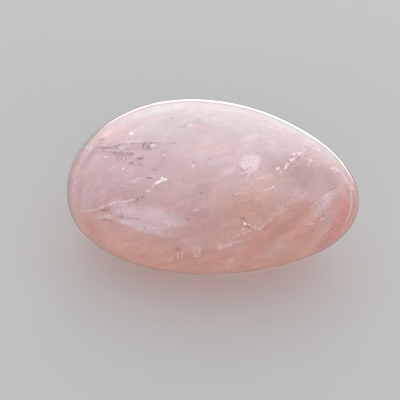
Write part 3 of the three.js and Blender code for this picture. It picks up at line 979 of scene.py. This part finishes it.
# Open parts of the cracks, which turn the light away and look dark: their dark flecks are painted shade
DARK_SHEETS = [Sheet(*row) for row in (
    (((97, 141.4, 1.4), (101.7, 139.4, 4.8), (106.5, 139.4, 1.4)), 0.6, 0.1, 0.5, 0.14),
    (((98, 143, 3), (108, 148, 10), (118, 150, 10), (130, 152, 6)), 1.2, 0.3, 0.11, 0.12),
    (((140, 144, 2), (148, 146, 8), (156, 146, 5), (166, 145, 2)), 1.2, 0.3, 0.11, 0.12),
    (((98, 147.8, 1.8), (105.5, 148, 3.4), (113, 148.2, 1.8)), 0.7, 0.2, 0.5, 0.14),
    (((112.8, 147.6, 1.1), (118, 145.6, 2.3), (123.8, 144.2, 1.1)), 0.7, 0.1, 0.53, 0.14),
    (((123, 144, 1.1), (132, 143.4, 2), (142, 143.2, 1.1)), 0.7, 0.1, 0.38, 0.12),
    (((142, 143.2, 1.8), (147, 142.8, 2.9), (153, 142.8, 1.4)), 0.5, 0.1, 0.59, 0.14),
    (((141, 146, 2.9), (146, 147, 10), (151.5, 149, 2.9)), 0.7, 0.3, 0.35, 0.16),
    (((153, 142.9, 1.1), (163, 142.9, 2), (175.5, 143, 1.1)), 0.7, 0.1, 0.45, 0.12),
    (((101, 151.6, 1.4), (106, 151.8, 2.9), (111, 151.8, 1.4)), 0.8, 0.2, 0.3, 0.14),
    (((111.5, 153.6, 4.3), (117, 155.6, 11.4), (124, 155.8, 10), (129, 154.6, 4.3)), 0.8, 0.4, 0.3, 0.18),
    (((128.4, 154.6, 2), (130.6, 154.4, 4.3), (133, 154.8, 2)), 0.5, 0.1, 0.65, 0.18),
    (((136.6, 158.2, 1.1), (140, 158.4, 2.5), (143.4, 158.6, 1.1)), 0.5, 0.1, 0.7, 0.16),
    (((126, 163, 2.9), (132, 162, 8.6), (139, 163, 10), (144, 165, 4.3)), 0.9, 0.3, 0.14, 0.16),
    (((129.5, 163, 1.8), (132.3, 163, 3.2), (134.5, 163, 1.8)), 0.8, 0.2, 0.3, 0.14),
    (((137.5, 165.5, 1.8), (140, 165, 3.2), (142.5, 164, 1.8)), 0.8, 0.2, 0.24, 0.14),
    (((151, 169.5, 1.4), (154.5, 170, 2.9), (158, 170, 1.4)), 0.9, 0.2, 0.19, 0.12),
    (((160, 150, 2.9), (164, 155, 8.6), (167, 161, 2.9)), 1, 0.2, 0.06, 0.14),
    (((145, 177.9, 1.1), (148.5, 177.8, 2.5), (152.2, 177.8, 1.1)), 0.4, 0.1, 0.65, 0.16),
    (((119, 190, 1.4), (124, 190.6, 3.4), (129, 189.4, 1.4)), 1, 0.1, 0.11, 0.14),
    (((136, 200.4, 1.1), (140.6, 198.4, 2.5), (145.6, 195, 1.1)), 0.5, 0.1, 0.42, 0.14),
    (((93, 210.8, 1.4), (101, 210.6, 3.7), (107.5, 209.8, 4.3), (113.3, 208, 1.4)), 0.7, 0.2, 0.14, 0.13),
    (((103.5, 220.2, 1.1), (106.5, 220.4, 2.5), (112, 221.4, 1.1)), 0.6, 0.1, 0.33, 0.14),
    (((112, 209, 1.4), (126, 205.6, 2.9), (140, 203, 1.4)), 1, 0.1, 0.08, 0.12),
    (((117.5, 217.4, 2), (123, 215.6, 7.2), (129.6, 217.6, 2.9)), 0.8, 0.2, 0.14, 0.13),
    (((129, 218, 1.1), (135, 219, 2), (141, 220.2, 1.1)), 0.8, 0.1, 0.28, 0.12),
    (((143.4, 227.8, 1.4), (144.2, 227.8, 2.3), (145, 227.8, 1.4)), 0.4, 0.1, 0.56, 0.16),
    (((150, 221.5, 1.1), (162, 223.4, 1.8), (176, 225.6, 1.1)), 1, 0.2, 0.11, 0.12),
    (((176, 253, 2), (178, 249.6, 6.3), (181.4, 247.4, 2)), 0.7, 0.2, 0.24, 0.14),
    (((180, 257, 1.4), (180.2, 254.4, 2.3), (180.2, 252, 1.4)), 0.7, 0.2, 0.28, 0.14),
    (((185.6, 221.6, 1.4), (188.4, 219.6, 4.8), (191.4, 218.4, 1.4)), 0.8, 0.1, 0.19, 0.14),
    (((199.6, 193, 1.4), (200.9, 193, 2.9), (202.2, 193, 1.4)), 0.4, 0.1, 0.47, 0.14),
    (((203, 162.6, 1.1), (207, 160.6, 2), (212, 157.8, 1.1)), 0.6, 0.1, 0.14, 0.12),
    (((191.4, 165, 1.4), (193.2, 161.4, 3.4), (196.4, 162.4, 1.4)), 0.6, 0.1, 0.28, 0.12),
    (((198.2, 119.3, 1.1), (199, 119.3, 1.8), (199.8, 119.3, 1.1)), 0.4, 0.1, 0.56, 0.14),
    (((171, 118, 1.1), (171.8, 118, 1.8), (172.6, 118, 1.1)), 0.4, 0.1, 0.47, 0.14),
    (((183.6, 127, 1.4), (186.6, 124, 4.4), (190, 122, 1.4)), 0.5, 0.1, 0.22, 0.14),
    (((194, 121, 1.4), (198, 122, 6), (203, 120, 1.4)), 0.5, 0.1, 0.1, 0.12),
    (((219.6, 251.6, 1.4), (220.6, 253.6, 2.9), (221.4, 256, 1.4)), 0.8, 0.1, 0.11, 0.14),
    (((237.6, 166, 1.1), (241, 169.6, 2.5), (243.4, 171.6, 1.1)), 0.6, 0.1, 0.3, 0.13),
    (((242, 173, 1.1), (247, 170, 1.8), (252, 166.4, 1.1)), 0.6, 0.1, 0.22, 0.13),
    (((245, 175.8, 0.9), (249.8, 172.4, 1.6), (254, 169.4, 0.9)), 0.6, 0.1, 0.22, 0.12),
    (((246.4, 154, 1.1), (247.3, 153.8, 1.8), (248.2, 153.8, 1.1)), 0.6, 0.1, 0.33, 0.14),
    (((257, 153.8, 1.1), (257.9, 153.6, 1.8), (258.8, 153.6, 1.1)), 0.6, 0.1, 0.33, 0.14),
    (((245.6, 226, 1.1), (250, 228, 2), (255, 230.4, 1.1)), 0.6, 0.1, 0.33, 0.12),
    (((240, 216, 1.4), (244, 218.6, 5.7), (247, 222, 1.4)), 0.8, 0.1, 0.09, 0.14),
    (((289, 158.4, 1.1), (293, 157, 2.3), (296.4, 155.6, 1.1)), 0.5, 0.2, 0.37, 0.16),
    (((295, 161.4, 1.1), (298, 158.4, 2.5), (301.6, 156, 1.1)), 0.6, 0.2, 0.33, 0.16),
    (((284, 171, 1.4), (289, 167.6, 2.9), (294, 162.4, 1.4)), 0.8, 0.2, 0.11, 0.14),
    (((304, 150, 2.9), (309, 147, 11.4), (315, 146, 4.3)), 0.7, 0.3, 0.11, 0.2),
    (((306.4, 147, 1.4), (309, 146.8, 3.7), (311.5, 147, 1.4)), 0.7, 0.1, 0.28, 0.14),
    (((303.6, 156.6, 1.4), (309, 155, 4.3), (316, 152, 1.4)), 0.8, 0.1, 0.11, 0.14),
    (((317, 206.6, 2), (321.5, 203.8, 5.7), (326, 200, 2)), 0.7, 0.2, 0.1, 0.13),
    (((319, 219, 1.4), (322.4, 217, 2.9), (326, 214.6, 1.4)), 0.7, 0.1, 0.24, 0.14),
    (((324, 220, 1.4), (326.4, 218, 2.3), (328, 216, 1.4)), 0.7, 0.1, 0.24, 0.14),
    (((328, 191.4, 1.1), (333, 188.6, 2), (336.4, 186.6, 1.1)), 0.9, 0.1, 0.14, 0.14),
    (((348.2, 183.6, 1.1), (349.2, 189, 2.3), (347.6, 196.6, 1.1)), 0.5, 0.1, 0.37, 0.14),
    (((337.5, 172, 1.4), (339, 173.4, 2.5), (340.5, 175, 1.4)), 0.5, 0.1, 0.33, 0.14),
    (((311.7, 230.9, 1.1), (312.5, 230.9, 2), (313.3, 230.9, 1.1)), 0.4, 0.1, 0.56, 0.14),
)]

# Where a crack reaches the skin, polishing chalk stays in its pits and shows as bright crumbs, which
# also paint the glints of tiny bright facets. A row has the path, the cover and the fleck.
CHALK_AND_GLINT_SHEETS = [Sheet(path, 0, 0, cover, fleck) for path, cover, fleck in (
    (((129.4, 133.6, 1.4), (131.6, 133.5, 2.8), (133.8, 133.4, 1.4)), 0.92, 0.24),
    (((104, 156.8, 1.1), (105.8, 156.7, 2), (107.6, 156.6, 1.1)), 0.77, 0.19),
    (((122.4, 168.7, 1.1), (123.4, 168.6, 1.7), (124.4, 168.6, 1.1)), 0.77, 0.19),
    (((157.4, 182.6, 1.4), (159, 181.8, 3.2), (160.6, 181, 1.4)), 0.85, 0.24),
    (((161.4, 181.6, 1.1), (162.6, 180.8, 2), (163.8, 180.2, 1.1)), 0.7, 0.2),
    (((164.2, 179.8, 1.4), (165.6, 179.2, 3), (167, 178.6, 1.4)), 0.85, 0.24),
    (((160.2, 178.2, 1.1), (162, 178.2, 2.6), (163.8, 177.6, 1.1)), 0.8, 0.22),
    (((155.4, 183.6, 1.1), (156.6, 182.8, 2), (157.6, 182.2, 1.1)), 0.7, 0.22),
    (((152.6, 186.6, 0.9), (153.5, 185.6, 1.3), (154.4, 184.6, 0.9)), 0.5, 0.2),
    (((243.4, 223, 1.1), (244.6, 223.4, 2.8), (245.8, 224.4, 1.1)), 0.92, 0.24),
    (((194, 165.8, 1.1), (194, 166.8, 1.7), (194, 167.8, 1.1)), 0.66, 0.22),
    (((184.8, 189.6, 1.1), (185.6, 189.4, 1.5), (186.4, 189.2, 1.1)), 0.66, 0.22),
    (((272.4, 187.4, 1.1), (273.4, 187, 2), (274.4, 186.6, 1.1)), 0.66, 0.22),
    (((276.4, 169.4, 1.1), (277.4, 168.4, 2.2), (278, 167.6, 1.1)), 0.75, 0.22),
    (((285.4, 167.2, 1.1), (286.4, 166, 2.2), (287.2, 164.6, 1.1)), 0.75, 0.22),
    (((290, 160.6, 1.1), (291.6, 160, 2.2), (293, 159.4, 1.1)), 0.75, 0.22),
    (((293.4, 155.2, 1.1), (294.8, 154.6, 1.7), (296, 153.8, 1.1)), 0.44, 0.22),
    (((298.4, 154, 1.1), (300, 153, 2.2), (301.6, 152.2, 1.1)), 0.75, 0.22),
    (((317.6, 149.2, 1.1), (318.8, 149.8, 2), (320, 150.4, 1.1)), 0.66, 0.22),
    (((105.4, 217, 0.9), (106.4, 216.7, 1.3), (107.6, 216.4, 0.9)), 0.6, 0.2),
    (((331.8, 168.4, 1.1), (332.8, 168.2, 1.7), (333.8, 168.2, 1.1)), 0.66, 0.22),
    (((337, 169.4, 1.1), (338, 170, 2), (339, 170.6, 1.1)), 0.66, 0.22),
)]

SHEET_STEP = 0.2 * MM  # between the sheet's points along its path
FEWEST_STEPS = 4
SHEET_ROWS = 5
FADED_END = 0.1  # share of a sheet's length over which its flecks thin out
FADED_EDGE = 0.25  # and of its width
SPARSEST = 0.15  # share of the flecks that is left at the very end or edge
FLECK_AREA = 0.34  # what a fleck hides, as a share of its length squared


def eased(share):
    """A smooth rise from 0 to 1."""
    share = min(max(share, 0.0), 1.0)
    return share * share * (3 - 2 * share)


def sheet_mesh(name, sheets, skin, camera):
    """A mesh of all sheets. Its points know how crowded the flecks are, how long, and which way they lie."""
    points, faces, crowding, lengths, runs = [], [], [], [], []
    for sheet in sheets:
        path = np.array(sheet.path, float)
        steps = np.hypot(*np.diff(path[:, :2], axis=0).T)
        gone = np.concatenate(([0], np.cumsum(steps)))
        scale = MM if sheet.side else PIXEL
        count = max(FEWEST_STEPS, math.ceil(gone[-1] * scale / SHEET_STEP))
        at = np.linspace(0, gone[-1], count)
        x, y, width = (np.interp(at, gone, path[:, i]) for i in range(3))
        slope = np.gradient(np.stack((x, y), 1), axis=0)
        slope /= np.hypot(*slope.T)[:, None]
        crowd = -math.log(1 - sheet.cover) / (FLECK_AREA * sheet.fleck ** 2)
        first = len(points)
        for i in range(count):
            for j in range(SHEET_ROWS):
                over = j / (SHEET_ROWS - 1)
                sidestep = (over - 0.5) * width[i]
                spot = (x[i] - slope[i, 1] * sidestep, y[i] + slope[i, 0] * sidestep)
                sight = side_sight(sheet.side, spot) if sheet.side else camera_sight(camera, spot)
                points.append(inside_point(skin, sight, (sheet.depth + sheet.dip * over) * MM))
                ends = eased(min(i, count - 1 - i) / (count - 1) / FADED_END)
                edges = eased(min(over, 1 - over) / FADED_EDGE)
                crowding.append(crowd * (SPARSEST + (1 - SPARSEST) * ends * edges))
                lengths.append(sheet.fleck * MM)
        for i in range(count):
            ahead = points[first + min(i + 1, count - 1) * SHEET_ROWS]
            behind = points[first + max(i - 1, 0) * SHEET_ROWS]
            runs += [(ahead - behind).normalized()] * SHEET_ROWS
        for i in range(count - 1):
            for j in range(SHEET_ROWS - 1):
                corner = first + i * SHEET_ROWS + j
                faces.append((corner, corner + 1, corner + SHEET_ROWS + 1, corner + SHEET_ROWS))
    mesh = bpy.data.meshes.new(name)
    mesh.from_pydata(points, [], faces)
    mesh.attributes.new("crowding", "FLOAT", "POINT").data.foreach_set("value", crowding)
    mesh.attributes.new("fleck_length", "FLOAT", "POINT").data.foreach_set("value", lengths)
    mesh.attributes.new("run", "FLOAT_VECTOR", "POINT").data.foreach_set("vector", np.array(runs).ravel())
    return mesh


# What the hidden cracks are dealt from. Lengths are in mm, across a side view of the stone and down it.
HIDDEN = {
    "turn": (30, 150),  # degrees round the stone that a crack is seen from, where +X is 0 and behind is 90
    "height": (-40, 15),  # degrees above the horizon
    "heading": (-0.6, 0.6),  # radians below level that a crack sets out at
    "x": (-16, 12),  # where it starts
    "y": (-3, 7),
    "width": (0.2, 1.6),
    "swelling": (0.5, 1.4),  # its width at a point, as a share of the usual
    "stride": (0.8, 2.2),  # from point to point
    "swerve": (-0.5, 0.5),  # radians that it turns at a point
    "depth": (0.4, 1.4),
    "dip": (0.1, 0.5),
    "cover": (0.15, 0.5),
    "fleck": (0.14, 0.25),
}
HIDDEN_POINTS = (3, 7)  # fewest points of a crack, and one more than the most
HIDDEN_X_MOST = 16  # where a crack is held back
HIDDEN_Y_LEAST = -4
HIDDEN_Y_MOST = 8


def hidden_sheets(count, seed):
    """Cracks for the sides that the camera doesn't see: short wandering lines at many depths."""
    dice = np.random.default_rng(seed)

    def deal(what):
        return dice.uniform(*HIDDEN[what])

    sheets = []
    for _ in range(count):
        side = (math.radians(deal("turn")), math.radians(deal("height")))
        heading = deal("heading")
        x = deal("x")
        y = deal("y")
        width = deal("width")
        path = []
        for _ in range(dice.integers(*HIDDEN_POINTS)):
            path.append((x, y, width * deal("swelling")))
            stride = deal("stride")
            x = min(x + math.cos(heading) * stride, HIDDEN_X_MOST)
            y = min(max(y + math.sin(heading) * stride, HIDDEN_Y_LEAST), HIDDEN_Y_MOST)
            heading += deal("swerve")
        sheets.append(Sheet(tuple(path), deal("depth"), deal("dip"), deal("cover"), deal("fleck"), side))
    return sheets


WANDER_WIDTH = 1.2 * MM  # how wide the bends of a crooked sheet are
CLUMP_WIDTH = 0.5 * MM  # how wide the crowded places of a sheet are
CLUMP_EDGES = (0.4, 0.6)  # values of the noise at which a place is at its emptiest and its fullest
CLUMPING = (0.1, 1.9)  # flecks in such places, as shares of the usual number
FLECK_SPREAD = (0.65, 1.25)  # squared, the least and greatest length, as shares of the usual
FLECK_BREADTH = (0.35, 0.8)  # as shares of the length
EVERY_WAY = ((-1, -1, -1), (1, 1, 1))
GRAIN_SEGMENTS = 5  # a fleck has only a few faces, because there are thousands
GRAIN_RINGS = 2


def fleck_tree(material, names):
    """The tree that scatters flecks over the sheets."""
    tree, sizes = new_tree("Flecks", names, ["Seed"])
    crowding = add(tree, "GeometryNodeInputNamedAttribute", {"data_type": "FLOAT"}, "crowding")
    length = add(tree, "GeometryNodeInputNamedAttribute", {"data_type": "FLOAT"}, "fleck_length")
    run = add(tree, "GeometryNodeInputNamedAttribute", {"data_type": "FLOAT_VECTOR"}, "run")

    # A crack never runs straight
    crooked = add(tree, "ShaderNodeTexNoise", Scale=1 / WANDER_WIDTH, Detail=3.0)
    level = add(tree, "ShaderNodeVectorMath", "SUBTRACT", crooked.outputs["Color"], (0.5, 0.5, 0.5))
    stray = add(tree, "ShaderNodeVectorMath", "SCALE", level, Scale=sizes["Wander"])
    sheet = add(tree, "GeometryNodeSetPosition", Geometry=sizes["Geometry"], Offset=stray)

    # More flecks in some places of a sheet than in others
    per_width = add(tree, "ShaderNodeMath", "DIVIDE", 1.0, sizes["Clump Width"])
    clump = add(tree, "ShaderNodeTexNoise", Scale=per_width, Detail=2.0)
    gather = add(tree, "ShaderNodeMapRange", None, clump, *CLUMP_EDGES, *CLUMPING)
    local = add(tree, "ShaderNodeMath", "MULTIPLY", crowding, gather)
    wanted = add(tree, "ShaderNodeMath", "MULTIPLY", local, sizes["Crowding"])
    density = add(tree, "ShaderNodeMath", "MULTIPLY", wanted, 1 / MM ** 2)
    spots = add(tree, "GeometryNodeDistributePointsOnFaces", {"distribute_method": "RANDOM"},
                Mesh=sheet, Density=density, Seed=sizes["Seed"])
    off = add(tree, "FunctionNodeRandomValue", {"data_type": "FLOAT_VECTOR"}, *EVERY_WAY, Seed=1)
    away = add(tree, "ShaderNodeVectorMath", "SCALE", off, Scale=sizes["Scatter"])
    strewn = add(tree, "GeometryNodeSetPosition", Geometry=spots, Offset=away)

    # Each lies along its sheet, tilted a little
    flat = add(tree, "FunctionNodeAlignRotationToVector", {"axis": "Z"}, Vector=spots.outputs["Normal"])
    along = add(tree, "FunctionNodeAlignRotationToVector", {"axis": "X", "pivot_axis": "Z"}, Rotation=flat,
                Vector=run)
    lean = add(tree, "FunctionNodeRandomValue", {"data_type": "FLOAT_VECTOR"}, *EVERY_WAY, Seed=2)
    tilt = add(tree, "ShaderNodeVectorMath", "SCALE", lean, Scale=sizes["Tilt"])
    turned = add(tree, "FunctionNodeRotateRotation", {"rotation_space": "LOCAL"}, along,
                 add(tree, "FunctionNodeEulerToRotation", None, tilt))

    # Many small ones and few big ones
    share = add(tree, "FunctionNodeRandomValue", {"data_type": "FLOAT"}, in2=FLECK_SPREAD[0],
                in3=FLECK_SPREAD[1], Seed=3)
    small = add(tree, "ShaderNodeMath", "POWER", share.outputs[1], 2.0)
    sized = add(tree, "ShaderNodeMath", "MULTIPLY", small, length)
    grown_to = add(tree, "ShaderNodeMath", "MULTIPLY", sized, sizes["Fleck Size"])
    breadth = add(tree, "FunctionNodeRandomValue", {"data_type": "FLOAT"}, in2=FLECK_BREADTH[0],
                  in3=FLECK_BREADTH[1], Seed=4)
    form = add(tree, "ShaderNodeCombineXYZ", None, 1.0, breadth.outputs[1], sizes["Flatness"])
    scale = add(tree, "ShaderNodeVectorMath", "SCALE", form, Scale=grown_to)
    grain = add(tree, "GeometryNodeMeshUVSphere", Segments=GRAIN_SEGMENTS, Rings=GRAIN_RINGS, Radius=0.5)
    flecks = add(tree, "GeometryNodeInstanceOnPoints", Points=strewn, Instance=grain, Rotation=turned,
                 Scale=scale)
    end_tree(tree, flecks, material)
    return tree


GRAIN_PATCH = 0.4 * MM  # how wide the lighter and darker places are
GRAIN_SHADES = (0.8, 1.05)  # darkest and lightest, as shares of the grain's colour
GRAIN_SHINE = 0.2  # of the specular level: a broken face hardly shines


def matt_grain(name, colour, roughness, painted_glow):
    """A matt mineral grain: lighter and darker in places, with a painted glow for the light it gathers."""
    material = bpy.data.materials.new(name)
    material.use_nodes = True
    tree = material.node_tree
    surface = tree.nodes["Principled BSDF"]
    surface.inputs["Roughness"].default_value = roughness
    surface.inputs["Specular IOR Level"].default_value = GRAIN_SHINE
    # Painted glow: the grain gives off light of its own colour, standing in for light that it gathers
    surface.inputs["Emission Color"].default_value = (*colour, 1)
    surface.inputs["Emission Strength"].default_value = painted_glow
    place = add(tree, "ShaderNodeTexCoord").outputs["Object"]
    patch = add(tree, "ShaderNodeTexNoise", None, place, Scale=1 / GRAIN_PATCH, Detail=1.0)
    shade = add(tree, "ShaderNodeMapRange", None, patch, NOISE_LOW, NOISE_HIGH, *GRAIN_SHADES)
    tinted = add(tree, "ShaderNodeVectorMath", "SCALE", colour, Scale=shade)
    tree.links.new(tinted.outputs[0], surface.inputs["Base Color"])
    return material


# How the flecks of a crack lie, and how the crumbs of a pit do: their thickness as a share of their length,
# their tilt in radians, how far they are strewn off the sheet, and how far the sheet wanders
IN_CRACKS = {"Flatness": 0.15, "Tilt": 0.5, "Scatter": 0.08 * MM, "Wander": 0.5 * MM}
IN_PITS = {"Flatness": 0.1, "Tilt": 0.1, "Scatter": 0.01 * MM, "Wander": 0.0}


def fill_cracks(context, name, sheets, material, lie):
    """Grows the flecks of like cracks as one piece inside the stone."""
    flaws = context.scene.crystal_flaws
    skin = skin_of(bpy.data.objects[PEBBLE])
    base = sheet_mesh(name + "_sheets", sheets, skin, context.scene.camera)
    sizes = {"Crowding": flaws.crowding, "Fleck Size": flaws.fleck_size, "Clump Width": CLUMP_WIDTH, **lie}
    piece = grown(fleck_tree(material, sizes), name, {**sizes, "Seed": flaws.seed}, base)
    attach(piece, "root")


class STONE_OT_heal_cracks(bpy.types.Operator):
    """Fills the healed cracks with pale flecks"""

    bl_idname = "stone.heal_cracks"
    bl_label = "Heal Cracks"

    def execute(self, context):
        flaws = context.scene.crystal_flaws
        colours = context.scene.quartz_colours
        sheets = (*PALE_SHEETS, *hidden_sheets(flaws.hidden_cracks, flaws.seed))
        # Quartz that grew back full of bubbles: milk white, with a painted glow for the light it catches
        milky = matt_grain("milky_healed_quartz", colours.healed, roughness=0.6, painted_glow=0.2)
        fill_cracks(context, "healed_crack_flecks", sheets, milky, IN_CRACKS)
        return {"FINISHED"}


class STONE_OT_open_cracks(bpy.types.Operator):
    """Fills the open cracks with dark flecks of painted shade"""

    bl_idname = "stone.open_cracks"
    bl_label = "Open Cracks"

    def execute(self, context):
        flaws = context.scene.crystal_flaws
        colours = context.scene.quartz_colours
        sheets = (*DARK_SHEETS, *hidden_sheets(flaws.hidden_cracks // 3, flaws.seed + 1))
        # Gaps that send the light elsewhere: the dark flecks paint the shade that the eye sees in them
        shadowed = matt_grain("shadowed_open_crack", colours.gap, roughness=0.7, painted_glow=0.0)
        fill_cracks(context, "open_crack_flecks", sheets, shadowed, IN_CRACKS)
        return {"FINISHED"}


class STONE_OT_chalk_pits(bpy.types.Operator):
    """Sets the bright crumbs where cracks reach the skin; they also paint glints there"""

    bl_idname = "stone.chalk_pits"
    bl_label = "Chalk Pits"

    def execute(self, context):
        colours = context.scene.quartz_colours
        # Polishing powder that dried in the pits: pure white crumbs, which with their painted glow also
        # paint the glints of tiny facets
        chalk = matt_grain("white_polishing_chalk", colours.chalk, roughness=0.5, painted_glow=0.3)
        fill_cracks(context, "chalk_filled_pits", CHALK_AND_GLINT_SHEETS, chalk, IN_PITS)
        return {"FINISHED"}


class STONE_PT_panel(bpy.types.Panel):
    """Lists the stone's sizes and colours and the steps that build it"""

    bl_label = "Palm Stone"
    bl_idname = "STONE_PT_panel"
    bl_space_type = "VIEW_3D"
    bl_region_type = "UI"
    bl_category = "Palm Stone"

    def draw(self, context):
        for name in GROUPS:
            group = getattr(context.scene, name)
            box = self.layout.box()
            for setting in group.__annotations__:
                box.prop(group, setting)
        for operator in OPERATORS:
            self.layout.operator(operator.bl_idname)


GROUPS = {"pebble_shape": PebbleShape, "crystal_flaws": CrystalFlaws, "quartz_colours": QuartzColours,
          "studio_setup": StudioSetup}
OPERATORS = (STONE_OT_set_studio, STONE_OT_shape_pebble, STONE_OT_cloud_heart, STONE_OT_heal_cracks,
             STONE_OT_open_cracks, STONE_OT_chalk_pits)
CLASSES = (*GROUPS.values(), *OPERATORS, STONE_PT_panel)


def register():
    for cls in CLASSES:
        bpy.utils.register_class(cls)
    for name, group in GROUPS.items():
        setattr(bpy.types.Scene, name, bpy.props.PointerProperty(type=group))


def unregister():
    for name in GROUPS:
        delattr(bpy.types.Scene, name)
    for cls in reversed(CLASSES):
        bpy.utils.unregister_class(cls)


def main():
    register()
    bpy.ops.stone.set_studio()
    bpy.ops.stone.shape_pebble()
    bpy.ops.stone.cloud_heart()
    bpy.ops.stone.heal_cracks()
    bpy.ops.stone.open_cracks()
    bpy.ops.stone.chalk_pits()


if __name__ == "__main__":
    main()
